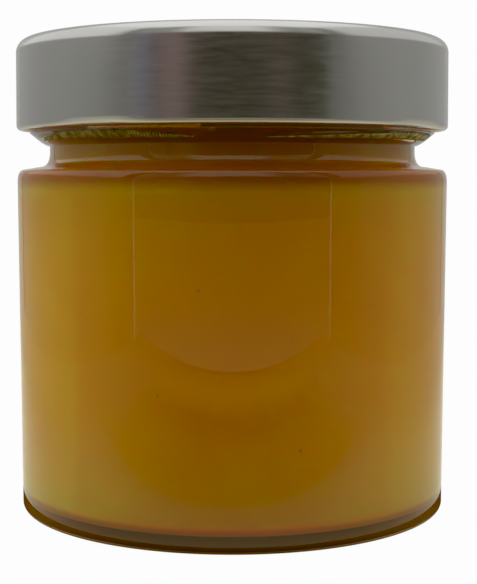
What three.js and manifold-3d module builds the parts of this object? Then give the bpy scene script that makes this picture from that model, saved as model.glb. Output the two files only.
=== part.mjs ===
// A shut glass jar of creamed honey under a deep twist-off metal lid.
// Millimetres, +Z up, the front towards -Y. The origin is the centre of the base, on the surface it stands on.
// Angles round the jar are counted from the front towards +X, in degrees.

import * as THREE from 'three';
import { mergeVertices } from 'three/addons/utils/BufferGeometryUtils.js';
import Module from 'manifold-3d';

const wasm = await Module();
wasm.setup();

// How finely the round shapes are cut
const SIDES_ROUND = 60;
const STEPS_PER_CURVE = 3;

// The gap between pieces that touch
const FIT_GAP = 0.3;

// Outside of the glass, from the base up
const PUSH_UP = 1.4;
const FOOT_INNER_RADIUS = 36;
const HEEL_RADIUS = 1.1;
const BODY_RADIUS = 42.85;
const BODY_TOP = 65.3;
const CORNER_PULL_RADIUS = 42.78;
const CORNER_PULL_HEIGHT = 67.3;
const CORNER_END_RADIUS = 41.3;
const CORNER_END_HEIGHT = 67.6;
const SHOULDER_INNER_RADIUS = 38.4;
const SHOULDER_INNER_HEIGHT = 68.15;
const NECK_RADIUS = 36.43;
const NECK_LOW = 71.3;
const NECK_HIGH = 72.2;
const BEAD_RADIUS = 40.3;
const BEAD_LOW = 74.75;
const BEAD_HIGH = 75.6;
const FINISH_RADIUS = 39.4;
const FINISH_LOW = 76.8;
const RIM_HEIGHT = 92.05;
const RIM_ROUNDING = 1.2;

// Inside of the glass
const WALL = 2.95;
const FLOOR_EDGE_HEIGHT = 2.6;
const FLOOR_CENTRE_HEIGHT = 3.8;
const FLOOR_CORNER = 3;
const CAVITY_BODY_TOP = 62.9;
const CAVITY_CORNER = 2.2;
const CAVITY_NECK_RADIUS = 33.5;
const CAVITY_NECK_LOW = 69.5;
const CAVITY_NECK_HIGH = 73;
const BORE_RADIUS = 36;
const BORE_LOW = 77;

// Slanting threads on the glass, each starting on the bead's underside and climbing to the right
const THREADS = 4;
const FIRST_THREAD_START = 9;
const THREAD_SWEEP = 78;
const THREAD_START_HEIGHT = 73.5;
const THREAD_RISE = 2.7;
const THREAD_START_RADIUS = 38.5;
const THREAD_END_RADIUS = 39.4;
const THREAD_HALF_HEIGHT = 0.6;
const THREAD_HALF_DEPTH = 0.8;
const THREAD_STEPS = 10;
const THREAD_SIDES = 8;

// Honey level, up inside the lid
const HONEY_LEVEL = 80;

// Lid
const LID_HEIGHT = 92.8;
const LID_PANEL_DROP = 0.5;
const LID_PANEL_RADIUS = 33;
const LID_RING_INNER_RADIUS = 34.2;
const LID_CORNER = 2.6;
const LID_TOP_RADIUS = 42.7;
const LID_LOWER_RADIUS = 42.85;
const LID_WALL = 0.45;
const CURL_RADIUS = 0.9;
const CURL_BOTTOM = 75.25;

// Places where the lid's curl is pressed in to grip the threads
const LUGS = 4;
const FIRST_LUG = -35;
const LUG_HALF_WIDTH = 17;
const LUG_PRESS = 0.45;
const LUG_FADE_HEIGHT = 2.2;

const glassMaterial = new THREE.MeshStandardMaterial({
  color: 0xd9e0d6,
  roughness: 0.05,
  metalness: 0,
  transparent: true,
  opacity: 0.35,
});
const honeyMaterial = new THREE.MeshStandardMaterial({ color: 0x97660f, roughness: 0.45, metalness: 0 });
const lidMaterial = new THREE.MeshStandardMaterial({ color: 0xb4b2ab, roughness: 0.35, metalness: 1 });

const radians = THREE.MathUtils.degToRad;

// A solid of revolution about Z from a path whose x is the radius and whose y is the height
function turned(path) {
  const lathe = new THREE.LatheGeometry(path.getPoints(STEPS_PER_CURVE), SIDES_ROUND);
  lathe.rotateX(Math.PI / 2);
  return lathe;
}

// The inside of the jar from its floor up to a height, drawn inwards by a gap
function cavity(path, gap, top) {
  const wall = BODY_RADIUS - WALL - gap;
  const neck = CAVITY_NECK_RADIUS - gap;
  const bore = BORE_RADIUS - gap;
  const edge = FLOOR_EDGE_HEIGHT + gap;
  const bodyTop = CAVITY_BODY_TOP - gap;
  const shoulder = bodyTop + CAVITY_CORNER;
  const middle = (shoulder + CAVITY_NECK_LOW) / 2;
  path.moveTo(0, FLOOR_CENTRE_HEIGHT + gap);
  path.quadraticCurveTo(wall / 2, FLOOR_CENTRE_HEIGHT + gap, wall - FLOOR_CORNER, edge);
  path.absarc(wall - FLOOR_CORNER, edge + FLOOR_CORNER, FLOOR_CORNER, -Math.PI / 2, 0);
  path.absarc(wall - CAVITY_CORNER, bodyTop, CAVITY_CORNER, 0, Math.PI / 2);
  path.bezierCurveTo(neck, shoulder, neck, middle, neck, CAVITY_NECK_LOW);
  path.lineTo(neck, CAVITY_NECK_HIGH);
  path.quadraticCurveTo(bore, (CAVITY_NECK_HIGH + BORE_LOW) / 2, bore, BORE_LOW);
  path.lineTo(bore, top);
}

function glassOutside(path) {
  const foot = BODY_RADIUS - HEEL_RADIUS;
  path.moveTo(0, PUSH_UP);
  path.quadraticCurveTo(FOOT_INNER_RADIUS / 2, PUSH_UP, FOOT_INNER_RADIUS, 0);
  path.lineTo(foot, 0);
  path.absarc(foot, HEEL_RADIUS, HEEL_RADIUS, -Math.PI / 2, 0);
  path.lineTo(BODY_RADIUS, BODY_TOP);
  path.quadraticCurveTo(CORNER_PULL_RADIUS, CORNER_PULL_HEIGHT, CORNER_END_RADIUS, CORNER_END_HEIGHT);
  path.lineTo(SHOULDER_INNER_RADIUS, SHOULDER_INNER_HEIGHT);
  path.quadraticCurveTo(NECK_RADIUS, SHOULDER_INNER_HEIGHT, NECK_RADIUS, NECK_LOW);
  path.lineTo(NECK_RADIUS, NECK_HIGH);
  path.quadraticCurveTo(NECK_RADIUS + 1, NECK_HIGH, BEAD_RADIUS, BEAD_LOW);
  path.lineTo(BEAD_RADIUS, BEAD_HIGH);
  path.lineTo(FINISH_RADIUS, FINISH_LOW);
  path.absarc(FINISH_RADIUS - RIM_ROUNDING, RIM_HEIGHT - RIM_ROUNDING, RIM_ROUNDING, 0, Math.PI / 2);
}

// A ridge of oval section that winds up the neck, half sunk in the glass
class ThreadLine extends THREE.Curve {
  constructor(startAngle) {
    super();
    this.startAngle = startAngle;
  }

  getPoint(t, target = new THREE.Vector3()) {
    const angle = radians(this.startAngle + THREAD_SWEEP * t);
    const radius = THREE.MathUtils.lerp(THREAD_START_RADIUS, THREAD_END_RADIUS, Math.sin((t * Math.PI) / 2));
    const height = THREAD_START_HEIGHT + THREAD_RISE * t;
    return target.set(radius * Math.sin(angle), -radius * Math.cos(angle), height);
  }
}

function threadRidge(startAngle) {
  const section = new THREE.Shape();
  section.absellipse(0, 0, THREAD_HALF_HEIGHT, THREAD_HALF_DEPTH, 0, 2 * Math.PI);
  return new THREE.ExtrudeGeometry(section, {
    curveSegments: THREAD_SIDES / 2,
    steps: THREAD_STEPS,
    extrudePath: new ThreadLine(startAngle),
  });
}

// A closed geometry as a solid that can be joined
function toSolid(geometry) {
  const bare = geometry.clone();
  bare.deleteAttribute('normal');
  bare.deleteAttribute('uv');
  const merged = mergeVertices(bare);
  const corners = merged.index.array;
  const triVerts = [];
  for (let i = 0; i < corners.length; i += 3) {
    const [a, b, c] = [corners[i], corners[i + 1], corners[i + 2]];
    if (a !== b && b !== c && c !== a) triVerts.push(a, b, c);
  }
  const mesh = new wasm.Mesh({
    numProp: 3,
    vertProperties: merged.attributes.position.array,
    triVerts: new Uint32Array(triVerts),
  });
  return new wasm.Manifold(mesh);
}

function toGeometry(solid) {
  const mesh = solid.getMesh();
  const geometry = new THREE.BufferGeometry();
  geometry.setAttribute('position', new THREE.BufferAttribute(mesh.vertProperties, mesh.numProp));
  geometry.setIndex(new THREE.BufferAttribute(mesh.triVerts, 1));
  geometry.computeVertexNormals();
  return geometry;
}

function jarGeometry() {
  const outline = new THREE.Path();
  glassOutside(outline);
  const inside = new THREE.Path();
  cavity(inside, 0, RIM_HEIGHT - RIM_ROUNDING);
  for (const point of inside.getPoints(STEPS_PER_CURVE).reverse()) outline.lineTo(point.x, point.y);
  let glass = toSolid(turned(outline));
  for (let i = 0; i < THREADS; i += 1) {
    const start = FIRST_THREAD_START + (360 / THREADS) * i;
    glass = glass.add(toSolid(threadRidge(start)));
  }
  return toGeometry(glass);
}

function honeyGeometry() {
  const outline = new THREE.Path();
  cavity(outline, FIT_GAP, HONEY_LEVEL);
  outline.lineTo(0, HONEY_LEVEL);
  return turned(outline);
}

function lidOutline() {
  const path = new THREE.Path();
  const under = LID_HEIGHT - LID_WALL;
  const corner = LID_TOP_RADIUS - LID_CORNER;
  const cornerHeight = LID_HEIGHT - LID_CORNER;
  const innerWall = LID_LOWER_RADIUS - LID_WALL;
  const curl = LID_LOWER_RADIUS - CURL_RADIUS;
  const curlHeight = CURL_BOTTOM + CURL_RADIUS;
  // Underside of the top, then down the inner wall
  path.moveTo(0, under - LID_PANEL_DROP);
  path.lineTo(LID_PANEL_RADIUS, under - LID_PANEL_DROP);
  path.lineTo(LID_RING_INNER_RADIUS, under);
  path.absarc(corner, cornerHeight, LID_CORNER - LID_WALL, Math.PI / 2, 0, true);
  path.lineTo(innerWall, curlHeight + 2 * CURL_RADIUS);
  // The curl, rolled inwards under the wall
  path.lineTo(curl, curlHeight + CURL_RADIUS);
  path.absarc(curl, curlHeight, CURL_RADIUS, Math.PI / 2, 2 * Math.PI);
  // Up the outer wall and over the top
  path.absarc(corner, cornerHeight, LID_CORNER, 0, Math.PI / 2);
  path.lineTo(LID_RING_INNER_RADIUS, LID_HEIGHT);
  path.lineTo(LID_PANEL_RADIUS, LID_HEIGHT - LID_PANEL_DROP);
  path.lineTo(0, LID_HEIGHT - LID_PANEL_DROP);
  return path;
}

// How far the curl is pressed in at an angle and height: all the way in the middle of a lug, fading out round it
function lugPress(angle, height) {
  const spacing = 360 / LUGS;
  const fromFirst = THREE.MathUtils.euclideanModulo(angle - FIRST_LUG + spacing / 2, spacing) - spacing / 2;
  const round = 1 - THREE.MathUtils.smoothstep(Math.abs(fromFirst), LUG_HALF_WIDTH / 2, LUG_HALF_WIDTH);
  const curlTop = CURL_BOTTOM + 2 * CURL_RADIUS;
  const up = 1 - THREE.MathUtils.smoothstep(height, curlTop, curlTop + LUG_FADE_HEIGHT);
  return LUG_PRESS * round * up;
}

function lidGeometry() {
  const lid = turned(lidOutline());
  const position = lid.attributes.position;
  for (let i = 0; i < position.count; i += 1) {
    const [x, y, z] = [position.getX(i), position.getY(i), position.getZ(i)];
    const radius = Math.hypot(x, y);
    if (radius < BEAD_RADIUS) continue;
    const angle = THREE.MathUtils.radToDeg(Math.atan2(x, -y));
    const scale = (radius - lugPress(angle, z)) / radius;
    position.setXYZ(i, x * scale, y * scale, z);
  }
  lid.computeVertexNormals();
  return lid;
}

function piece(name, geometry, material) {
  const mesh = new THREE.Mesh(geometry, material);
  mesh.name = name;
  return mesh;
}

const honeyJar = new THREE.Group();
honeyJar.add(
  piece('jar', jarGeometry(), glassMaterial),
  piece('honey', honeyGeometry(), honeyMaterial),
  piece('lid', lidGeometry(), lidMaterial),
);

export default honeyJar;
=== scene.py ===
import math
import random

import bpy
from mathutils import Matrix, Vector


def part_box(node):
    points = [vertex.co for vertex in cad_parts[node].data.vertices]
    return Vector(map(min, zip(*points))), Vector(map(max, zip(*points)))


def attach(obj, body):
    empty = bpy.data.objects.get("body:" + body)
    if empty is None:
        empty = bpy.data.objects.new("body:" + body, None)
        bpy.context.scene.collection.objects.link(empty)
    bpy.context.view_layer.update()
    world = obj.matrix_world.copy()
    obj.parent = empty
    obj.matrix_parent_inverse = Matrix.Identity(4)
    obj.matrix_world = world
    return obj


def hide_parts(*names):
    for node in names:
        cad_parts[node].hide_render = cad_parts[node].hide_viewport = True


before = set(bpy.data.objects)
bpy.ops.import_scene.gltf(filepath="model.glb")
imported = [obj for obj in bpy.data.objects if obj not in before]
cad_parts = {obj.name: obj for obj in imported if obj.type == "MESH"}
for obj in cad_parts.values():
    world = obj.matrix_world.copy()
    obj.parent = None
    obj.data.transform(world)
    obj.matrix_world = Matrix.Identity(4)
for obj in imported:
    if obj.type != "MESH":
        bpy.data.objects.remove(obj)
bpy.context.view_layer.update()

# A shut glass jar of creamed honey under a deep satin twist-off lid. Metres, +Z up, the front towards -Y.
# Angles round the jar are counted from the front towards +X.

MM = 0.001
FULL_TURN = 2 * math.pi

# Sizes read from the frame
JAR_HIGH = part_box("jar")[1]
LID_LOW, LID_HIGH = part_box("lid")
BODY_RADIUS = JAR_HIGH.x
RIM_HEIGHT = JAR_HIGH.z
LID_TOP = LID_HIGH.z
LID_LOWER_RADIUS = LID_HIGH.x
HONEY_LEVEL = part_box("honey")[1].z

# Outside of the glass, from the base up
PUSH_UP = 1.4 * MM
FOOT_INNER_RADIUS = 36 * MM
HEEL_RADIUS = 1.1 * MM
BODY_TOP = 65.3 * MM
CORNER_PULL_RADIUS = 42.78 * MM
CORNER_PULL_HEIGHT = 67.52 * MM
CORNER_END_RADIUS = 41.5 * MM
CORNER_END_HEIGHT = 67.62 * MM
SHOULDER_INNER_RADIUS = 38.4 * MM
SHOULDER_INNER_HEIGHT = 68.15 * MM
NECK_RADIUS = 36.43 * MM
NECK_LOW = 71.3 * MM
NECK_HIGH = 72.2 * MM
BEAD_RADIUS = 40.3 * MM
BEAD_LOW = 74.75 * MM
BEAD_HIGH = 75.6 * MM
FINISH_RADIUS = 39.4 * MM
FINISH_LOW = 76.8 * MM
FINISH_STEP = 1.5 * MM
RIM_ROUNDING = 1.2 * MM

# Inside of the glass
WALL = 2.95 * MM
FLOOR_EDGE_HEIGHT = 2.6 * MM
FLOOR_CENTRE_HEIGHT = 3.8 * MM
FLOOR_CORNER = 3 * MM
CAVITY_BODY_TOP = 62.9 * MM
CAVITY_CORNER = 2.2 * MM
CAVITY_NECK_RADIUS = 33.5 * MM
CAVITY_NECK_LOW = 69.5 * MM
CAVITY_NECK_HIGH = 73 * MM
BORE_RADIUS = 36 * MM
BORE_LOW = 77 * MM

# Slanting threads on the glass
THREADS = 4
FIRST_THREAD_START = math.radians(9)
THREAD_SWEEP = math.radians(78)
THREAD_START_HEIGHT = 73.5 * MM
THREAD_RISE = 2.7 * MM
THREAD_START_RADIUS = 38.5 * MM
THREAD_END_RADIUS = 39.4 * MM
THREAD_HALF_HEIGHT = 0.6 * MM
THREAD_HALF_DEPTH = 0.8 * MM
THREAD_RISES_BY, THREAD_FALLS_FROM = 0.3, 0.75
THREAD_REACH = 3 * MM

# Fine upright ribs on the slope under the lid: (angle, half length) along a row left of the front,
# and along one to the right, where they stand so close that they overlap
LEFT_RIBS = (
    (math.radians(-68), 0.15 * MM),
    (math.radians(-50), 1.25 * MM),
    (math.radians(-32), 1.2 * MM),
    (math.radians(-22), 0.8 * MM),
    (math.radians(-10), 0.2 * MM),
)
RIGHT_RIBS = (
    (math.radians(9), 0.1 * MM),
    (math.radians(40), 0.75 * MM),
    (math.radians(58), 1.1 * MM),
    (math.radians(74), 0.9 * MM),
)
LEFT_RIB_STEP = math.radians(0.85)
RIGHT_RIB_STEP = math.radians(0.35)
RIB_HALF_WIDTH = 0.25 * MM
RIB_HALF_DEPTH = 0.16 * MM
RIB_FOOT_RADIUS = 38.4 * MM
RIB_FOOT_HEIGHT = 73.15 * MM
RIB_SLOPE = math.radians(39)
RIB_LIFT = 0.1 * MM
RIB_SEGMENTS = 8
RIB_RINGS = 6

# The honey reaches this far into the glass, so that no air shows between them
HONEY_INTO_GLASS = 0.08 * MM

# Lid
LID_PANEL_DROP = 0.5 * MM
LID_PANEL_RADIUS = 33 * MM
LID_RING_INNER_RADIUS = 34.2 * MM
LID_CORNER = 2.6 * MM
LID_TOP_RADIUS = 42.7 * MM
LID_WALL = 0.45 * MM
PANEL_EDGE = 0.6 * MM
CURL_RADIUS = 0.9 * MM
CURL_BOTTOM = LID_LOW.z

# Places where the lid's curl is pressed in
LUGS = 4
FIRST_LUG = math.radians(-35)
LUG_HALF_WIDTH = math.radians(17)
LUG_PRESS_OUTSIDE = 0.8 * MM
LUG_PRESS_INSIDE = 0.45 * MM
LUG_FADE_TOP = 77.0 * MM
LUG_FADE_DROP = 0.6 * MM

# How finely the round shapes are cut
GLASS_SIDES = 384
LID_SIDES = 384
HONEY_SIDES = 256

# The photograph's camera: its place, tilt and lens, and where its axis meets the picture
PHOTO_WIDE, PHOTO_HIGH = 477, 584
CAMERA_DISTANCE = 268.4 * MM
CAMERA_HEIGHT = 66.4 * MM
CAMERA_TILT = math.radians(6.643)
FOCAL_PIXELS = 1319.1
AXIS_X_PIXEL, AXIS_Y_PIXEL = 232.25, 329.5
SENSOR = 36
NEAREST_SEEN = 0.01
# The photograph has a little less blue than these materials give, all over the picture
PHOTO_BLACK = (0, 0, 0.012)

# Tiny air bubbles between honey and glass: those of the front at (angle, height), the others scattered
FRONT_BUBBLES = (
    (math.radians(-8.3), 46.6 * MM),
    (math.radians(-18.8), 27.9 * MM),
    (math.radians(-54.3), 43.1 * MM),
    (math.radians(-41.9), 41.7 * MM),
    (math.radians(17.1), 18.1 * MM),
)
OTHER_BUBBLES = 14
OTHER_BUBBLES_FROM = math.radians(70)
OTHER_BUBBLES_LOW, OTHER_BUBBLES_HIGH = 10 * MM, 58 * MM
BUBBLE_RADIUS = 0.34 * MM
BUBBLE_DEPTH = 0.12 * MM
BUBBLE_SEED = 7
SMALLEST_BUBBLE = 0.6
BUBBLE_ROUNDNESS = 3

# Glass: its own tint, and what it leaves of the light that passes to what it holds
GLASS_TINT = (0.965, 0.98, 0.955, 1)
GLASS_SHADOW_TINT = (0.93, 0.95, 0.93, 1)
GLASS_ROUGHNESS = 0.015
GLASS_IOR = 1.52

# Ribs under the lid: a painted reflection, olive brown to gold, of the lid's lacquer and the honey seen in
# the glass
RIB_PAINTED_DARK = (0.12, 0.06, 0.01, 1)
RIB_PAINTED_GOLD = (0.42, 0.27, 0.08, 1)
RIB_MOTTLE_SCALE = 900.0
RIB_PAINTED_DARK_AT, RIB_PAINTED_GOLD_AT = 0.35, 0.65
RIB_ROUGHNESS = 0.2
RIB_CLEARNESS = 0.15

# Bubbles: paler and glossier than the honey
BUBBLE_GOLD = (0.62, 0.34, 0.06, 1)
BUBBLE_ROUGHNESS = 0.25
BUBBLE_GLOSS = 0.4

# Honey: two golds in soft clouds, and how far red, green and blue light spread in it
HONEY_GOLD = (0.88, 0.395, 0.001, 1)
HONEY_PALE = (0.95, 0.46, 0.002, 1)
HONEY_CLOUD_SCALE = 34.0
HONEY_GOLD_AT, HONEY_PALE_AT = 0.35, 0.68
HONEY_ROUGHNESS = 0.5
HONEY_SPREAD = (1.0, 0.08, 0.03)
HONEY_SPREAD_SCALE = 0.05

# Painted light and shade on the honey, as a share of its colour at each height: painted shade on its floor,
# a painted brightening just above it, and painted shade, redder and darker, under the shoulder and in the
# neck where the lid shades it
PAINTED_SHADING_LOW, PAINTED_SHADING_HIGH = 0, 80 * MM
PAINTED_SHADING = (
    (3.4 * MM, (0.55, 0.6, 0.8, 1)),
    (4.6 * MM, (1.07, 1.12, 0.8, 1)),
    (16 * MM, (1, 1, 1, 1)),
    (50 * MM, (1, 1, 1, 1)),
    (63.2 * MM, (1, 0.93, 1, 1)),
    (65.6 * MM, (0.76, 0.57, 0.4, 1)),
    (69.0 * MM, (0.76, 0.57, 0.4, 1)),
    (72.0 * MM, (0.71, 0.46, 0.5, 1)),
    (74.5 * MM, (0.42, 0.18, 0.3, 1)),
)

# Lid: bare tinplate with a fine grain wound round it, and a thin gold lacquer inside
TINPLATE = (0.52, 0.515, 0.50, 1)
GRAIN_SCALE = (7.0, 1300.0, 1.0)
GRAIN_LOW, GRAIN_HIGH = 0.3, 0.7
SMOOTHEST, ROUGHEST = 0.2, 0.27
GRAIN_BUMP = 0.12
GRAIN_HEIGHT = 0.02 * MM
LACQUER = (0.40, 0.33, 0.15, 1)
LACQUER_RADIUS = 41.6 * MM
LACQUER_WALL_RADIUS = 42.45 * MM
LACQUER_TOP_DROP = 0.7 * MM

# Studio: a tent of white cloth with a low opening in front, on a white table
TENT_HALF_WIDTH = 0.258
TENT_FRONT = -0.23
TENT_BACK = 0.319
TENT_TOP = 0.50
OPENING_TOP = 0.16
POST_WIDTH = 0.006
CORNER_SHADE_WIDTH = 0.012
LAMP_FRONT = -0.18
LAMP_LOW = 0.15
SKY_DROP = 0.004
FLOOR_REACH = 2.0
FLOOR_LEVEL = -0.02 * MM
CARD_LIFT = 0.0005
SHADE_RADIUS = 0.047
SHADE_CORNERS = 64
SHADE_LEVEL = FLOOR_LEVEL / 4
CLOTH_FRONT = -0.262
ROOM_FAR, ROOM_NEARER = -0.50, -0.49
ROOM_LOW, ROOM_HIGH = 0.075, 0.30
ROOM_WIDE = 0.62
ROOM_RED_REACH = 0.40

# How bright each part is, at (place in metres, brightness) from low to high where it changes
WHITE = (1, 1, 1)
CLOTH_WARM = (1, 0.82, 0.4)
CLOTH_PALE = (1, 0.95, 0.8)
ROOM_GREY = (1, 1, 1.35)
ROOM_RED = (1, 0.66, 0.7)
WALL_SHADES = ((TENT_FRONT, 0.16), (-0.17, 0.24), (-0.10, 0.33), (0.0, 0.38), (TENT_BACK, 0.45))
LINTEL_SHADES = (
    (-0.26, 0.45),
    (-0.20, 0.4),
    (-0.13, 0.3),
    (-0.09, 0.95),
    (0.06, 0.95),
    (0.12, 0.3),
    (0.19, 0.45),
    (0.26, 0.5),
)
CLOTH_SHADES = (
    (CLOTH_FRONT, 0.07, CLOTH_WARM),
    (-0.24, 0.42, CLOTH_WARM),
    (-0.213, 0.7, CLOTH_WARM),
    (-0.188, 0.4, CLOTH_WARM),
    (-0.17, 0.1, CLOTH_WARM),
    (-0.155, 0.12, CLOTH_WARM),
    (-0.127, 0.38, CLOTH_WARM),
    (-0.102, 0.52, CLOTH_WARM),
    (-0.085, 0.52, CLOTH_WARM),
    (-0.068, 0.62, CLOTH_PALE),
    (-0.055, 0.78, CLOTH_PALE),
)
CLOTH_SIDE_SHADES = (
    (CLOTH_FRONT, 0.3, CLOTH_PALE),
    (-0.17, 0.42, CLOTH_PALE),
    (-0.10, 0.5, CLOTH_PALE),
    (-0.068, 0.5, CLOTH_PALE),
    (-0.058, 0.55, CLOTH_PALE),
)
CLOTH_SIDES_FROM, CLOTH_SIDES_TO = 0.07, 0.17
ROOM_GREY_SHADES = ((-ROOM_WIDE, 0.19), (-0.42, 0.19), (-0.36, 0.08), (0, 0.03))
ROOM_RED_SHADES = (
    (-ROOM_RED_REACH, 0.06),
    (-0.30, 0.26),
    (-0.24, 0.26),
    (-0.15, 0.03),
    (0.10, 0.025),
    (0.17, 0.075),
    (0.25, 0.075),
    (0.33, 0.025),
    (ROOM_RED_REACH, 0.025),
)
LEFT_LAMP_GLOW = 1.0
RIGHT_LAMP_GLOW = 0.78
BACK_GLOW = 0.52
TOP_GLOW = 0.6
SKY_GLOW = 1.25
POST_GLOW = 0.8
CORNER_GLOW = 0.12
LEFT_SIDE_WATTS = 0.46
RIGHT_SIDE_WATTS = 0.27
SIDE_LAMP_TINT = (0.47, 1.0, 0.85)
SIDE_LAMP_SIZE = 0.2
SIDE_LAMP_PLACE = (0.24, 0.0, 0.035)
BASE_LAMP_WATTS = 0.0036
BASE_LAMP_SIZE = 0.07
BASE_LAMP_LEVEL = 0.6 * MM
BASE_LAMP_TINT = (1.0, 0.8, 0.3)
TABLE_WHITE = (0.8, 0.8, 0.8, 1)
ROOM_GLOW = (0.045, 0.042, 0.034, 1)
TABLE_GLOW = 0.19
SHADE_GLOW = (0.04, 0.022, 0.002, 1)
PAGE_WHITE = 0.982


def arc(centre, radii, start, end, steps):
    """Points of an elliptical arc in the (radius, height) plane.
    Angles are in quarter turns from straight outwards."""
    points = []
    for i in range(steps + 1):
        angle = (start + (end - start) * i / steps) * math.pi / 2
        points.append((centre[0] + radii[0] * math.cos(angle), centre[1] + radii[1] * math.sin(angle)))
    return points


def bezier(controls, steps):
    """Points of a quadratic or cubic curve in the (radius, height) plane."""
    points = []
    for i in range(steps + 1):
        t = i / steps
        level = list(controls)
        while len(level) > 1:
            level = [
                (a[0] + (b[0] - a[0]) * t, a[1] + (b[1] - a[1]) * t)
                for a, b in zip(level, level[1:])
            ]
        points.append(level[0])
    return points


def line(start, end, steps):
    """Points of a straight line in the (radius, height) plane."""
    return bezier([start, end], steps)


def without_doubles(outline):
    """The outline without points that lie on the one before."""
    kept = outline[:1]
    for point in outline[1:]:
        if math.dist(point, kept[-1]) > 1e-3 * MM:
            kept.append(point)
    return kept


def ease(value, low, high):
    """0 below low, 1 above high and smooth between."""
    t = min(max((value - low) / (high - low), 0), 1)
    return t * t * (3 - 2 * t)


def turned(name, outline, sides, shaped=None):
    """A mesh object turned about Z from an outline that starts and ends on the axis.
    shaped(angle, radius, height) gives a point's own radius, for what isn't round."""
    outline = without_doubles(outline)
    rings = outline[1:-1]
    places = [(0, 0, outline[0][1])]
    for radius, height in rings:
        for side in range(sides):
            angle = FULL_TURN * side / sides
            own = shaped(angle, radius, height) if shaped else radius
            places.append((own * math.sin(angle), -own * math.cos(angle), height))
    places.append((0, 0, outline[-1][1]))
    last = len(places) - 1
    faces = []
    for side in range(sides):
        after = (side + 1) % sides
        faces.append((0, 1 + after, 1 + side))
        for ring in range(len(rings) - 1):
            here, above = 1 + ring * sides, 1 + (ring + 1) * sides
            faces.append((here + side, here + after, above + after, above + side))
        top = 1 + (len(rings) - 1) * sides
        faces.append((top + side, top + after, last))
    mesh = bpy.data.meshes.new(name)
    mesh.from_pydata(places, [], faces)
    mesh.polygons.foreach_set("use_smooth", [True] * len(mesh.polygons))
    mesh.update()
    made = bpy.data.objects.new(name, mesh)
    bpy.context.scene.collection.objects.link(made)
    return made


def cavity(into_glass, top):
    """The jar's inside from the middle of its floor up to a height."""
    wall = BODY_RADIUS - WALL + into_glass
    neck = CAVITY_NECK_RADIUS + into_glass
    bore = BORE_RADIUS + into_glass
    edge = FLOOR_EDGE_HEIGHT - into_glass
    centre = FLOOR_CENTRE_HEIGHT - into_glass
    shoulder = wall - CAVITY_CORNER
    shoulder_height = CAVITY_BODY_TOP + CAVITY_CORNER + into_glass
    corner = (CAVITY_CORNER, shoulder_height - CAVITY_BODY_TOP)
    middle = (shoulder_height + CAVITY_NECK_LOW) / 2
    neck_low = (neck, CAVITY_NECK_LOW)
    bore_pull = (CAVITY_NECK_HIGH + BORE_LOW) / 2
    return (
        bezier([(0, centre), (wall / 2, centre), (wall - FLOOR_CORNER, edge)], 12)
        + arc((wall - FLOOR_CORNER, edge + FLOOR_CORNER), (FLOOR_CORNER, FLOOR_CORNER), -1, 0, 12)
        + line((wall, edge + FLOOR_CORNER), (wall, CAVITY_BODY_TOP), 8)
        + arc((shoulder, CAVITY_BODY_TOP), corner, 0, 0.9, 10)
        + bezier([(shoulder, shoulder_height), (neck, shoulder_height), (neck, middle), neck_low], 12)
        + bezier([(neck, CAVITY_NECK_HIGH), (bore, bore_pull), (bore, BORE_LOW)], 10)
        + [(bore, top)]
    )


def glass_outside():
    """The glass from the middle of its base, up the body and neck to the rim."""
    foot = BODY_RADIUS - HEEL_RADIUS
    corner_pull = (CORNER_PULL_RADIUS, CORNER_PULL_HEIGHT)
    corner_end = (CORNER_END_RADIUS, CORNER_END_HEIGHT)
    shoulder_inner = (SHOULDER_INNER_RADIUS, SHOULDER_INNER_HEIGHT)
    shoulder_pull = (NECK_RADIUS, SHOULDER_INNER_HEIGHT)
    neck_low, neck_high = (NECK_RADIUS, NECK_LOW), (NECK_RADIUS, NECK_HIGH)
    rim = FINISH_RADIUS - RIM_ROUNDING
    return (
        bezier([(0, PUSH_UP), (FOOT_INNER_RADIUS / 2, PUSH_UP), (FOOT_INNER_RADIUS, 0)], 12)
        + arc((foot, HEEL_RADIUS), (HEEL_RADIUS, HEEL_RADIUS), -1, 0, 10)
        + line((BODY_RADIUS, HEEL_RADIUS), (BODY_RADIUS, BODY_TOP), 8)
        + bezier([(BODY_RADIUS, BODY_TOP), corner_pull, corner_end], 20)
        + line(corner_end, shoulder_inner, 6)
        + bezier([shoulder_inner, shoulder_pull, neck_low], 14)
        + line(neck_low, neck_high, 12)
        + bezier([neck_high, (NECK_RADIUS + MM, NECK_HIGH), (BEAD_RADIUS, BEAD_LOW)], 30)
        + line((BEAD_RADIUS, BEAD_LOW), (BEAD_RADIUS, BEAD_HIGH), 6)
        + line((BEAD_RADIUS, BEAD_HIGH), (FINISH_RADIUS, FINISH_LOW), 6)
        + line((FINISH_RADIUS, FINISH_LOW), (FINISH_RADIUS, FINISH_LOW + FINISH_STEP), 6)
        + arc((rim, RIM_HEIGHT - RIM_ROUNDING), (RIM_ROUNDING, RIM_ROUNDING), 0, 1, 6)
    )


def with_threads(angle, radius, height):
    """The outside of the neck, raised where a thread runs over it."""
    if not NECK_LOW < height < FINISH_LOW + THREAD_REACH or radius < NECK_RADIUS - MM:
        return radius
    for i in range(THREADS):
        start = FIRST_THREAD_START + FULL_TURN / THREADS * i
        along = ((angle - start) % FULL_TURN) / THREAD_SWEEP
        if along > 1:
            continue
        centre = THREAD_START_HEIGHT + THREAD_RISE * along
        across = (height - centre) / THREAD_HALF_HEIGHT
        if abs(across) >= 1:
            continue
        outwards = math.sin(along * math.pi / 2)
        path = THREAD_START_RADIUS + (THREAD_END_RADIUS - THREAD_START_RADIUS) * outwards
        taper = ease(along, 0, THREAD_RISES_BY) * (1 - ease(along, THREAD_FALLS_FROM, 1))
        ridge = path + THREAD_HALF_DEPTH * math.sqrt(1 - across * across)
        return radius + max(ridge - radius, 0) * taper
    return radius


def glass_jar():
    """The glass as one closed shell, outside and inside."""
    outline = glass_outside() + cavity(0, RIM_HEIGHT - RIM_ROUNDING)[::-1]
    return turned("jar_glass", outline, GLASS_SIDES, with_threads)


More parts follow.
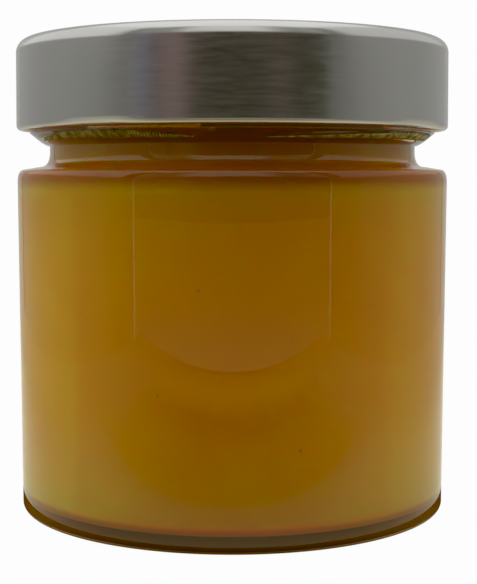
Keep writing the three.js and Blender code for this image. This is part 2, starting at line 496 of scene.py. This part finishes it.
def creamed_honey():
    """The honey, a closed form that fills the glass up to its level."""
    outline = cavity(HONEY_INTO_GLASS, HONEY_LEVEL) + [(0, HONEY_LEVEL)]
    return turned("creamed_honey", outline, HONEY_SIDES)


def grown(made, tree, sizes):
    """Runs a tree of geometry nodes on an object, keeps its mesh and takes the tree off again."""
    modifier = made.modifiers.new(tree.name, "NODES")
    modifier.node_group = tree
    for socket in tree.interface.items_tree:
        if socket.name in sizes:
            modifier[socket.identifier] = sizes[socket.name]
    result = made.evaluated_get(bpy.context.evaluated_depsgraph_get())
    made.data = bpy.data.meshes.new_from_object(result)
    made.modifiers.clear()
    made.data.polygons.foreach_set("use_smooth", [True] * len(made.data.polygons))
    return made


def points(name, places):
    """An object of loose points, for a tree of geometry nodes to work on."""
    mesh = bpy.data.meshes.new(name)
    mesh.from_pydata(places, [], [])
    made = bpy.data.objects.new(name, mesh)
    bpy.context.scene.collection.objects.link(made)
    return made


def rib_tree(material):
    """Geometry nodes that put a long bead on each point, turned and stretched as the point says."""
    tree = bpy.data.node_groups.new("ribs", "GeometryNodeTree")
    face = tree.interface
    face.new_socket("Points", in_out="INPUT", socket_type="NodeSocketGeometry")
    face.new_socket("Rib Width", in_out="INPUT", socket_type="NodeSocketFloat")
    face.new_socket("Rib Depth", in_out="INPUT", socket_type="NodeSocketFloat")
    face.new_socket("Ribs", in_out="OUTPUT", socket_type="NodeSocketGeometry")
    given = tree.nodes.new("NodeGroupInput").outputs
    bead = node(
        tree,
        "GeometryNodeMeshUVSphere",
        {"Radius": 1.0, "Segments": RIB_SEGMENTS, "Rings": RIB_RINGS},
    )
    turn = node(tree, "GeometryNodeInputNamedAttribute", {"Name": "turn"}, data_type="FLOAT_VECTOR")
    length = node(tree, "GeometryNodeInputNamedAttribute", {"Name": "length"}, data_type="FLOAT")
    size = node(
        tree,
        "ShaderNodeCombineXYZ",
        {"X": given["Rib Width"], "Y": given["Rib Depth"], "Z": length.outputs["Attribute"]},
    )
    placed = node(
        tree,
        "GeometryNodeInstanceOnPoints",
        {
            "Points": given["Points"],
            "Instance": bead.outputs["Mesh"],
            "Rotation": turn.outputs["Attribute"],
            "Scale": size.outputs[0],
        },
    )
    real = node(tree, "GeometryNodeRealizeInstances", {"Geometry": placed.outputs["Instances"]})
    painted = node(tree, "GeometryNodeSetMaterial", {"Geometry": real.outputs[0], "Material": material})
    out = tree.nodes.new("NodeGroupOutput")
    tree.links.new(painted.outputs[0], out.inputs["Ribs"])
    return tree


def rib_row(row, step):
    """The (place, turn, half length) of each rib along a row."""
    ribs = []
    angle = row[0][0]
    for (start, from_length), (end, to_length) in zip(row, row[1:]):
        while angle < end:
            half = from_length + (to_length - from_length) * (angle - start) / (end - start)
            radius = RIB_FOOT_RADIUS + half * math.cos(RIB_SLOPE) + RIB_LIFT * math.sin(RIB_SLOPE)
            height = RIB_FOOT_HEIGHT + half * math.sin(RIB_SLOPE) - RIB_LIFT * math.cos(RIB_SLOPE)
            place = (radius * math.sin(angle), -radius * math.cos(angle), height)
            ribs.append((place, (math.pi / 2 - RIB_SLOPE, 0, angle), half))
            angle += step
    return ribs


def neck_ribs(material):
    """The two rows of ribs under the lid, as one piece."""
    ribs = rib_row(LEFT_RIBS, LEFT_RIB_STEP) + rib_row(RIGHT_RIBS, RIGHT_RIB_STEP)
    places = [place for place, turn, half in ribs]
    turns = [part for place, turn, half in ribs for part in turn]
    lengths = [half for place, turn, half in ribs]
    made = points("neck_ribs", places)
    made.data.attributes.new("turn", "FLOAT_VECTOR", "POINT").data.foreach_set("vector", turns)
    made.data.attributes.new("length", "FLOAT", "POINT").data.foreach_set("value", lengths)
    return grown(made, rib_tree(material), {"Rib Width": RIB_HALF_WIDTH, "Rib Depth": RIB_HALF_DEPTH})


def bubble_tree(material):
    """Geometry nodes that put a small sphere of varied size on each point."""
    tree = bpy.data.node_groups.new("bubbles", "GeometryNodeTree")
    face = tree.interface
    face.new_socket("Points", in_out="INPUT", socket_type="NodeSocketGeometry")
    face.new_socket("Bubble Radius", in_out="INPUT", socket_type="NodeSocketFloat")
    face.new_socket("Smallest", in_out="INPUT", socket_type="NodeSocketFloat")
    face.new_socket("Seed", in_out="INPUT", socket_type="NodeSocketInt")
    face.new_socket("Bubbles", in_out="OUTPUT", socket_type="NodeSocketGeometry")
    given = tree.nodes.new("NodeGroupInput").outputs
    ball = node(
        tree,
        "GeometryNodeMeshIcoSphere",
        {"Radius": given["Bubble Radius"], "Subdivisions": BUBBLE_ROUNDNESS},
    )
    size = node(
        tree,
        "FunctionNodeRandomValue",
        {"Min": given["Smallest"], "Max": 1.0, "Seed": given["Seed"]},
        data_type="FLOAT",
    )
    placed = node(
        tree,
        "GeometryNodeInstanceOnPoints",
        {"Points": given["Points"], "Instance": ball.outputs["Mesh"], "Scale": size.outputs["Value"]},
    )
    real = node(tree, "GeometryNodeRealizeInstances", {"Geometry": placed.outputs["Instances"]})
    painted = node(tree, "GeometryNodeSetMaterial", {"Geometry": real.outputs[0], "Material": material})
    out = tree.nodes.new("NodeGroupOutput")
    tree.links.new(painted.outputs[0], out.inputs["Bubbles"])
    return tree


def air_bubbles(material):
    """The bubbles at the honey's wall, those of the front first."""
    chance = random.Random(BUBBLE_SEED)
    spots = list(FRONT_BUBBLES)
    for _ in range(OTHER_BUBBLES):
        angle = chance.uniform(OTHER_BUBBLES_FROM, FULL_TURN - OTHER_BUBBLES_FROM)
        spots.append((angle, chance.uniform(OTHER_BUBBLES_LOW, OTHER_BUBBLES_HIGH)))
    radius = BODY_RADIUS - WALL + HONEY_INTO_GLASS - BUBBLE_DEPTH
    places = [(radius * math.sin(angle), -radius * math.cos(angle), height) for angle, height in spots]
    sizes = {"Bubble Radius": BUBBLE_RADIUS, "Smallest": SMALLEST_BUBBLE, "Seed": BUBBLE_SEED}
    return grown(points("air_bubbles", places), bubble_tree(material), sizes)


def lid_outline():
    """The lid from the middle of its underside, round the curl and up over the top."""
    under = LID_TOP - LID_WALL
    corner = LID_TOP_RADIUS - LID_CORNER
    corner_height = LID_TOP - LID_CORNER
    inside = LID_CORNER - LID_WALL
    inner_wall = LID_LOWER_RADIUS - LID_WALL
    curl = LID_LOWER_RADIUS - CURL_RADIUS
    curl_height = CURL_BOTTOM + CURL_RADIUS
    panel = LID_TOP - LID_PANEL_DROP
    ring = LID_RING_INNER_RADIUS
    ring_slope = [(ring + MM, LID_TOP), (ring, LID_TOP), (ring - PANEL_EDGE, panel + PANEL_EDGE / 3)]
    panel_edge = [
        (LID_PANEL_RADIUS + PANEL_EDGE / 2, panel + PANEL_EDGE / 6),
        (LID_PANEL_RADIUS, panel),
        (LID_PANEL_RADIUS - MM, panel),
    ]
    return (
        [(0, under - LID_PANEL_DROP), (LID_PANEL_RADIUS, under - LID_PANEL_DROP)]
        + [(ring, under)]
        + arc((corner, corner_height), (inside, inside), 1, 0, 8)
        + line((inner_wall, corner_height), (inner_wall, curl_height + 2 * CURL_RADIUS), 3)
        + arc((curl, curl_height), (CURL_RADIUS, CURL_RADIUS), 1, 4, 30)
        + line((LID_LOWER_RADIUS, curl_height), (LID_LOWER_RADIUS, LUG_FADE_TOP), 8)
        + arc((corner, corner_height), (LID_CORNER, LID_CORNER), 0, 1, 20)
        + bezier(ring_slope, 5)
        + bezier(panel_edge, 5)
        + [(LID_PANEL_RADIUS / 2, panel), (0, panel)]
    )


def pressed_in(angle, radius, height):
    """The lid's radius at a point, less where a lug presses its lower edge in."""
    if height > LUG_FADE_TOP or radius < BEAD_RADIUS:
        return radius
    spacing = FULL_TURN / LUGS
    from_lug = (angle - FIRST_LUG + spacing / 2) % spacing - spacing / 2
    round_jar = 1 - ease(abs(from_lug), LUG_HALF_WIDTH / 4, LUG_HALF_WIDTH)
    up = 1 - ease(height, CURL_BOTTOM - LUG_FADE_DROP, LUG_FADE_TOP)
    outwards = (radius - (LID_LOWER_RADIUS - 2 * CURL_RADIUS)) / (2 * CURL_RADIUS)
    press = LUG_PRESS_INSIDE + (LUG_PRESS_OUTSIDE - LUG_PRESS_INSIDE) * min(max(outwards, 0), 1)
    return radius - press * round_jar * up


def twist_lid():
    """The metal lid with its pressed-in grips."""
    return turned("twist_lid", lid_outline(), LID_SIDES, pressed_in)


def node(tree, kind, inputs=None, **settings):
    """A node with its settings, and its inputs by name as values or as sockets to link from."""
    made = tree.nodes.new(kind)
    for name, value in settings.items():
        setattr(made, name, value)
    for name, value in (inputs or {}).items():
        if isinstance(value, bpy.types.NodeSocket):
            tree.links.new(value, made.inputs[name])
        else:
            made.inputs[name].default_value = value
    return made


def new_material(name):
    """An empty material and its tree of nodes."""
    material = bpy.data.materials.new(name)
    material.use_nodes = True
    material.node_tree.nodes.clear()
    return material, material.node_tree


def show(tree, shader):
    """Makes a shader the material's surface."""
    node(tree, "ShaderNodeOutputMaterial", {"Surface": shader.outputs[0]})


def two_colours(ramp, low, high):
    """Sets both ends of a colour ramp, each as (position, colour)."""
    for stop, (position, colour) in zip(ramp.color_ramp.elements, (low, high)):
        stop.position = position
        stop.color = colour


def many_colours(ramp, stops):
    """Sets a colour ramp to (position, colour) stops from low to high, with soft steps."""
    shades = ramp.color_ramp
    shades.interpolation = "EASE"
    while len(shades.elements) < len(stops):
        shades.elements.new(0.5)
    for element, (position, colour) in zip(shades.elements, stops):
        element.position = position
        element.color = colour


def clear_glass():
    """Clear glass, faintly green, that lets lamps reach what it holds."""
    material, tree = new_material("clear_glass")
    glass = node(
        tree,
        "ShaderNodeBsdfPrincipled",
        {
            "Base Color": GLASS_TINT,
            "Roughness": GLASS_ROUGHNESS,
            "IOR": GLASS_IOR,
            "Transmission Weight": 1.0,
        },
    )
    path = node(tree, "ShaderNodeLightPath")
    clear = node(tree, "ShaderNodeBsdfTransparent", {"Color": GLASS_SHADOW_TINT})
    mix = node(tree, "ShaderNodeMixShader", {0: path.outputs["Is Shadow Ray"]})
    tree.links.new(glass.outputs[0], mix.inputs[1])
    tree.links.new(clear.outputs[0], mix.inputs[2])
    show(tree, mix)
    return material


def ribbed_glass():
    """The ribs' surface, mottled in a painted reflection: the gold that the glass there takes from the
    lid's lacquer and the honey.
    """
    material, tree = new_material("ribbed_glass")
    place = node(tree, "ShaderNodeTexCoord").outputs["Object"]
    mottle = node(tree, "ShaderNodeTexNoise", {"Vector": place, "Scale": RIB_MOTTLE_SCALE, "Detail": 2.0})
    # Painted reflection: the ribs are mottled dark to gold for the glints of lacquer and honey in the glass
    colour = node(tree, "ShaderNodeValToRGB", {"Fac": mottle.outputs["Fac"]})
    two_colours(colour, (RIB_PAINTED_DARK_AT, RIB_PAINTED_DARK), (RIB_PAINTED_GOLD_AT, RIB_PAINTED_GOLD))
    glass = node(
        tree,
        "ShaderNodeBsdfPrincipled",
        {
            "Base Color": colour.outputs["Color"],
            "Roughness": RIB_ROUGHNESS,
            "Transmission Weight": RIB_CLEARNESS,
        },
    )
    show(tree, glass)
    return material


def bubble_skin():
    """The thin honey skin of a bubble, paler and glossier than the honey behind it."""
    material, tree = new_material("bubble_skin")
    skin = node(
        tree,
        "ShaderNodeBsdfPrincipled",
        {"Base Color": BUBBLE_GOLD, "Roughness": BUBBLE_ROUGHNESS, "Specular IOR Level": BUBBLE_GLOSS},
    )
    show(tree, skin)
    return material


def golden_honey():
    """Opaque creamed honey: light soaks in and scatters, red furthest."""
    material, tree = new_material("golden_honey")
    place = node(tree, "ShaderNodeTexCoord").outputs["Object"]
    clouds = node(
        tree,
        "ShaderNodeTexNoise",
        {
            "Vector": place,
            "Scale": HONEY_CLOUD_SCALE,
            "Detail": 3.0,
            "Roughness": 0.5,
            "Distortion": 0.6,
        },
    )
    colour = node(tree, "ShaderNodeValToRGB", {"Fac": clouds.outputs["Fac"]})
    two_colours(colour, (HONEY_GOLD_AT, HONEY_GOLD), (HONEY_PALE_AT, HONEY_PALE))
    # Painted light and shade: the honey's colour is multiplied by a ramp over height, darker on its floor,
    # under the shoulder and in the neck, brighter just above the floor
    split = node(tree, "ShaderNodeSeparateXYZ", {"Vector": place})
    upwards = node(
        tree,
        "ShaderNodeMapRange",
        {"Value": split.outputs["Z"], "From Min": PAINTED_SHADING_LOW, "From Max": PAINTED_SHADING_HIGH},
    )
    shading_ramp = node(tree, "ShaderNodeValToRGB", {"Fac": upwards.outputs[0]})
    span = PAINTED_SHADING_HIGH - PAINTED_SHADING_LOW
    many_colours(shading_ramp, [((height - PAINTED_SHADING_LOW) / span, shade) for height, shade in PAINTED_SHADING])
    shaded_honey = node(
        tree,
        "ShaderNodeMixRGB",
        {"Fac": 1.0, "Color1": colour.outputs["Color"], "Color2": shading_ramp.outputs["Color"]},
        blend_type="MULTIPLY",
    )
    honey = node(
        tree,
        "ShaderNodeBsdfPrincipled",
        {
            "Base Color": shaded_honey.outputs[0],
            "Roughness": HONEY_ROUGHNESS,
            "Specular IOR Level": 0.0,
            "Subsurface Weight": 1.0,
            "Subsurface Radius": HONEY_SPREAD,
            "Subsurface Scale": HONEY_SPREAD_SCALE,
        },
    )
    show(tree, honey)
    return material


def under(tree, value, limit):
    """1 where the value is under the limit, 0 elsewhere."""
    return node(tree, "ShaderNodeMath", {0: value, 1: limit}, operation="LESS_THAN").outputs[0]


def both(tree, first, second):
    """1 where both values are 1, 0 elsewhere."""
    return node(tree, "ShaderNodeMath", {0: first, 1: second}, operation="MULTIPLY").outputs[0]


def level_place(tree, split):
    """A place without its height."""
    return node(tree, "ShaderNodeCombineXYZ", {"X": split.outputs["X"], "Y": split.outputs["Y"]}).outputs[0]


def satin_metal():
    """Bare tinplate with a fine horizontal grain."""
    material, tree = new_material("satin_metal")
    place = node(tree, "ShaderNodeTexCoord").outputs["Object"]
    split = node(tree, "ShaderNodeSeparateXYZ", {"Vector": place})
    turn = node(tree, "ShaderNodeMath", operation="ARCTAN2")
    tree.links.new(split.outputs["X"], turn.inputs[0])
    tree.links.new(split.outputs["Y"], turn.inputs[1])
    wound = node(tree, "ShaderNodeCombineXYZ", {"X": turn.outputs[0], "Y": split.outputs["Z"]})
    stretched = node(tree, "ShaderNodeMapping", {"Vector": wound.outputs[0], "Scale": GRAIN_SCALE})
    grain = node(
        tree,
        "ShaderNodeTexNoise",
        {"Vector": stretched.outputs[0], "Scale": 1.0, "Detail": 3.0, "Roughness": 0.6, "Distortion": 0.3},
    )
    rough = node(
        tree,
        "ShaderNodeMapRange",
        {
            "Value": grain.outputs["Fac"],
            "From Min": GRAIN_LOW,
            "From Max": GRAIN_HIGH,
            "To Min": SMOOTHEST,
            "To Max": ROUGHEST,
        },
    )
    from_axis = node(tree, "ShaderNodeVectorMath", {0: level_place(tree, split)}, operation="LENGTH")
    radius = from_axis.outputs["Value"]
    height = split.outputs["Z"]
    core = both(tree, under(tree, radius, LACQUER_RADIUS), under(tree, height, LID_TOP - LACQUER_TOP_DROP))
    wall_height = both(tree, under(tree, height, LID_TOP - LID_CORNER), under(tree, LUG_FADE_TOP, height))
    wall = both(tree, under(tree, radius, LACQUER_WALL_RADIUS), wall_height)
    inside = node(tree, "ShaderNodeMath", {0: core, 1: wall}, operation="MAXIMUM").outputs[0]
    colour = node(
        tree,
        "ShaderNodeMixRGB",
        {"Fac": inside, "Color1": TINPLATE, "Color2": LACQUER},
    )
    bump = node(
        tree,
        "ShaderNodeBump",
        {"Height": grain.outputs["Fac"], "Strength": GRAIN_BUMP, "Distance": GRAIN_HEIGHT},
    )
    metal = node(
        tree,
        "ShaderNodeBsdfPrincipled",
        {
            "Base Color": colour.outputs["Color"],
            "Metallic": 1.0,
            "Roughness": rough.outputs[0],
            "Normal": bump.outputs[0],
        },
    )
    show(tree, metal)
    return material


def finish(piece, material, body, slot, *nodes):
    """Paints a piece and fixes it in the frame, in place of its solid where it has one."""
    if not piece.data.materials:
        piece.data.materials.append(material)
    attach(piece, body)
    if nodes:
        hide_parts(*nodes)


def flat(name, corners, material):
    """A flat object of the studio, with one face through its corners."""
    mesh = bpy.data.meshes.new(name)
    mesh.from_pydata(corners, [], [tuple(range(len(corners)))])
    mesh.materials.append(material)
    made = bpy.data.objects.new(name, mesh)
    bpy.context.scene.collection.objects.link(made)
    return made


def glow(name, strength):
    """A plain white glow."""
    material, tree = new_material(name)
    show(tree, node(tree, "ShaderNodeEmission", {"Strength": strength}))
    return material


def seen_as_page(tree, other):
    """A shader that the camera sees as a white page, while all else meets the other shader."""
    page = node(tree, "ShaderNodeEmission", {"Strength": PAGE_WHITE})
    path = node(tree, "ShaderNodeLightPath")
    mix = node(tree, "ShaderNodeMixShader", {0: path.outputs["Is Camera Ray"]})
    tree.links.new(other.outputs[0], mix.inputs[1])
    tree.links.new(page.outputs[0], mix.inputs[2])
    return mix


def table_top():
    """The white table, a little brighter than the lamps alone would make it."""
    material, tree = new_material("table_white")
    card = node(tree, "ShaderNodeBsdfDiffuse", {"Color": TABLE_WHITE})
    lit = node(tree, "ShaderNodeEmission", {"Strength": TABLE_GLOW})
    table = node(tree, "ShaderNodeAddShader", {0: card.outputs[0], 1: lit.outputs[0]})
    show(tree, seen_as_page(tree, table))
    reach = FLOOR_REACH
    corners = [
        (-reach, -reach, FLOOR_LEVEL),
        (reach, -reach, FLOOR_LEVEL),
        (reach, reach, FLOOR_LEVEL),
        (-reach, reach, FLOOR_LEVEL),
    ]
    return flat("table", corners, material)


def upright(name, start, end, low, high, material):
    """An upright panel of the tent between two (x, y) places."""
    corners = [(*start, low), (*end, low), (*end, high), (*start, high)]
    made = flat(name, corners, material)
    made.visible_camera = False
    return made


def level(name, low, high, height, material):
    """A level panel between two opposite (x, y) corners."""
    (left, near), (right, far) = low, high
    corners = [(left, near, height), (right, near, height), (right, far, height), (left, far, height)]
    made = flat(name, corners, material)
    made.visible_camera = False
    return made


def graded(tree, along, shades, tint=None):
    """A colour that changes along an axis: shades are (place in metres, brightness) from low to high,
    each with its own tint where no tint is given for all."""
    low, high = shades[0][0], shades[-1][0]
    place = node(tree, "ShaderNodeMapRange", {"Value": along, "From Min": low, "From Max": high})
    steps = node(tree, "ShaderNodeValToRGB", {"Fac": place.outputs[0]})
    stops = []
    for where, shade, *own_tint in shades:
        colour = (*(shade * part for part in tint or own_tint[0]), 1)
        stops.append(((where - low) / (high - low), colour))
    many_colours(steps, stops)
    return steps.outputs["Color"]


def graded_glow(name, axis, shades, tint):
    """A glow that changes along an axis."""
    material, tree = new_material(name)
    place = node(tree, "ShaderNodeTexCoord").outputs["Object"]
    split = node(tree, "ShaderNodeSeparateXYZ", {"Vector": place})
    colour = graded(tree, split.outputs[axis], shades, tint)
    show(tree, node(tree, "ShaderNodeEmission", {"Color": colour}))
    return material


def floor_cloth():
    """The cloth's glow: amber and darker where the jar and the opening shade it, plain at the sides."""
    material, tree = new_material("floor_cloth")
    place = node(tree, "ShaderNodeTexCoord").outputs["Object"]
    split = node(tree, "ShaderNodeSeparateXYZ", {"Vector": place})
    sideways = node(tree, "ShaderNodeMath", {0: split.outputs["X"]}, operation="ABSOLUTE")
    share = node(
        tree,
        "ShaderNodeMapRange",
        {"Value": sideways.outputs[0], "From Min": CLOTH_SIDES_FROM, "From Max": CLOTH_SIDES_TO},
        interpolation_type="SMOOTHSTEP",
    )
    middle = graded(tree, split.outputs["Y"], CLOTH_SHADES)
    sides = graded(tree, split.outputs["Y"], CLOTH_SIDE_SHADES)
    colour = node(tree, "ShaderNodeMixRGB", {"Fac": share.outputs[0], "Color1": middle, "Color2": sides})
    show(tree, node(tree, "ShaderNodeEmission", {"Color": colour.outputs["Color"]}))
    return material


def shade_below():
    """The dim amber round that the jar's own foot keeps on the table."""
    material, tree = new_material("shade_below")
    show(tree, node(tree, "ShaderNodeEmission", {"Color": SHADE_GLOW}))
    places = []
    for corner in range(SHADE_CORNERS):
        angle = FULL_TURN * corner / SHADE_CORNERS
        places.append((SHADE_RADIUS * math.cos(angle), SHADE_RADIUS * math.sin(angle), SHADE_LEVEL))
    made = flat("shade_below", places, material)
    made.visible_camera = False


def light_tent():
    """The glowing walls, top and lamps, and the cards that only mirrors and gloss see."""
    w, front, back, top = TENT_HALF_WIDTH, TENT_FRONT, TENT_BACK, TENT_TOP
    cloth = graded_glow("tent_cloth", "Y", WALL_SHADES, WHITE)
    post = glow("tent_post", POST_GLOW)
    nook = back - CARD_LIFT
    for side, name, lamp in ((-1, "left", LEFT_LAMP_GLOW), (1, "right", RIGHT_LAMP_GLOW)):
        x = side * w
        upright("wall_" + name, (x, front), (x, back), 0, LAMP_LOW, cloth)
        upright("lamp_" + name, (x, LAMP_FRONT), (x, back), LAMP_LOW, top, glow("lamp_" + name, lamp))
        upright("post_" + name, (x - side * POST_WIDTH, front), (x, front), 0, OPENING_TOP, post)
        corner = (x - side * CORNER_SHADE_WIDTH, nook)
        upright("corner_" + name, corner, (x, nook), 0, top, glow("corner_" + name, CORNER_GLOW))
    upright("back_wall", (-w, back), (w, back), 0, top, glow("back_wall", BACK_GLOW))
    level("top", (-w, front), (w, back), top, glow("top", TOP_GLOW))
    lintel = graded_glow("lintel", "X", LINTEL_SHADES, WHITE)
    grey = graded_glow("room_left", "X", ROOM_GREY_SHADES, ROOM_GREY)
    grey_start, grey_end = (-ROOM_WIDE, ROOM_FAR), (0, ROOM_FAR)
    red = graded_glow("room_red", "X", ROOM_RED_SHADES, ROOM_RED)
    red_start, red_end = (-ROOM_RED_REACH, ROOM_NEARER), (ROOM_RED_REACH, ROOM_NEARER)
    mirrored = [
        level("sky", (-w, front), (w, back), top - SKY_DROP, glow("sky", SKY_GLOW)),
        upright("lintel", (-w, front), (w, front), OPENING_TOP, top, lintel),
        level("floor_cloth", (-w, CLOTH_FRONT), (w, back), FLOOR_LEVEL / 2, floor_cloth()),
        upright("room_left", grey_start, grey_end, ROOM_LOW, ROOM_HIGH, grey),
        upright("room_red", red_start, red_end, ROOM_LOW, ROOM_HIGH, red),
    ]
    for card in mirrored:
        card.visible_diffuse = False
        card.visible_transmission = False


def room():
    """The dim room outside the tent, which the camera sees as a white page."""
    world = bpy.data.worlds.new("room")
    bpy.context.scene.world = world
    world.use_nodes = True
    tree = world.node_tree
    tree.nodes.clear()
    dim = node(tree, "ShaderNodeBackground", {"Color": ROOM_GLOW})
    page = node(tree, "ShaderNodeBackground", {"Color": (PAGE_WHITE, PAGE_WHITE, PAGE_WHITE, 1)})
    path = node(tree, "ShaderNodeLightPath")
    mix = node(tree, "ShaderNodeMixShader", {0: path.outputs["Is Camera Ray"]})
    tree.links.new(dim.outputs[0], mix.inputs[1])
    tree.links.new(page.outputs[0], mix.inputs[2])
    node(tree, "ShaderNodeOutputWorld", {"Surface": mix.outputs[0]})


def camera():
    """The photograph's camera, with a shift only as large as its frame needs."""
    data = bpy.data.cameras.new("camera")
    data.sensor_width = SENSOR
    data.lens = FOCAL_PIXELS * SENSOR / PHOTO_HIGH
    data.shift_x = (PHOTO_WIDE / 2 - AXIS_X_PIXEL) / PHOTO_HIGH
    data.shift_y = (AXIS_Y_PIXEL - PHOTO_HIGH / 2) / PHOTO_HIGH
    data.clip_start = NEAREST_SEEN
    made = bpy.data.objects.new("camera", data)
    made.location = (0, -CAMERA_DISTANCE, CAMERA_HEIGHT)
    made.rotation_euler = (math.pi / 2 - CAMERA_TILT, 0, 0)
    bpy.context.scene.collection.objects.link(made)
    bpy.context.scene.camera = made


def unseen_lamp(name, shape, size, watts, tint):
    """A soft lamp that neither the camera nor a mirror sees."""
    lamp = bpy.data.lights.new(name, "AREA")
    lamp.shape = shape
    lamp.size = size
    lamp.energy = watts
    lamp.color = tint
    made = bpy.data.objects.new(name, lamp)
    made.visible_camera = False
    made.visible_glossy = False
    made.visible_transmission = False
    bpy.context.scene.collection.objects.link(made)
    return made


def side_lamps():
    """Two soft lamps that light what is inside the glass from the sides and that nothing mirrors."""
    across, along, height = SIDE_LAMP_PLACE
    for side, name, watts in ((-1, "left", LEFT_SIDE_WATTS), (1, "right", RIGHT_SIDE_WATTS)):
        lamp = unseen_lamp("side_lamp_" + name, "SQUARE", SIDE_LAMP_SIZE, watts, SIDE_LAMP_TINT)
        lamp.location = (side * across, along, height)
        lamp.rotation_euler = (0, side * math.pi / 2, 0)


def base_lamp():
    """A dim lamp under the jar, partly inside its foot, for the light that the table throws up."""
    lamp = unseen_lamp("base_lamp", "DISK", BASE_LAMP_SIZE, BASE_LAMP_WATTS, BASE_LAMP_TINT)
    lamp.location = (0, 0, BASE_LAMP_LEVEL)
    lamp.rotation_euler = (math.pi, 0, 0)


def studio():
    """The whole stage round the jar."""
    camera()
    table_top()
    shade_below()
    light_tent()
    side_lamps()
    base_lamp()
    room()
    scene = bpy.context.scene
    scene.view_settings.view_transform = "Standard"
    scene.view_settings.use_curve_mapping = True
    scene.view_settings.curve_mapping.black_level = PHOTO_BLACK
    scene.cycles.use_denoising = True


studio()
finish(glass_jar(), clear_glass(), "root", "clear_glass", "jar")
finish(creamed_honey(), golden_honey(), "root", "creamed_honey", "honey")
rib_glass = ribbed_glass()
finish(neck_ribs(rib_glass), rib_glass, "root", "clear_glass")
skin = bubble_skin()
finish(air_bubbles(skin), skin, "root", "creamed_honey")
finish(twist_lid(), satin_metal(), "root", "satin_metal", "lid")
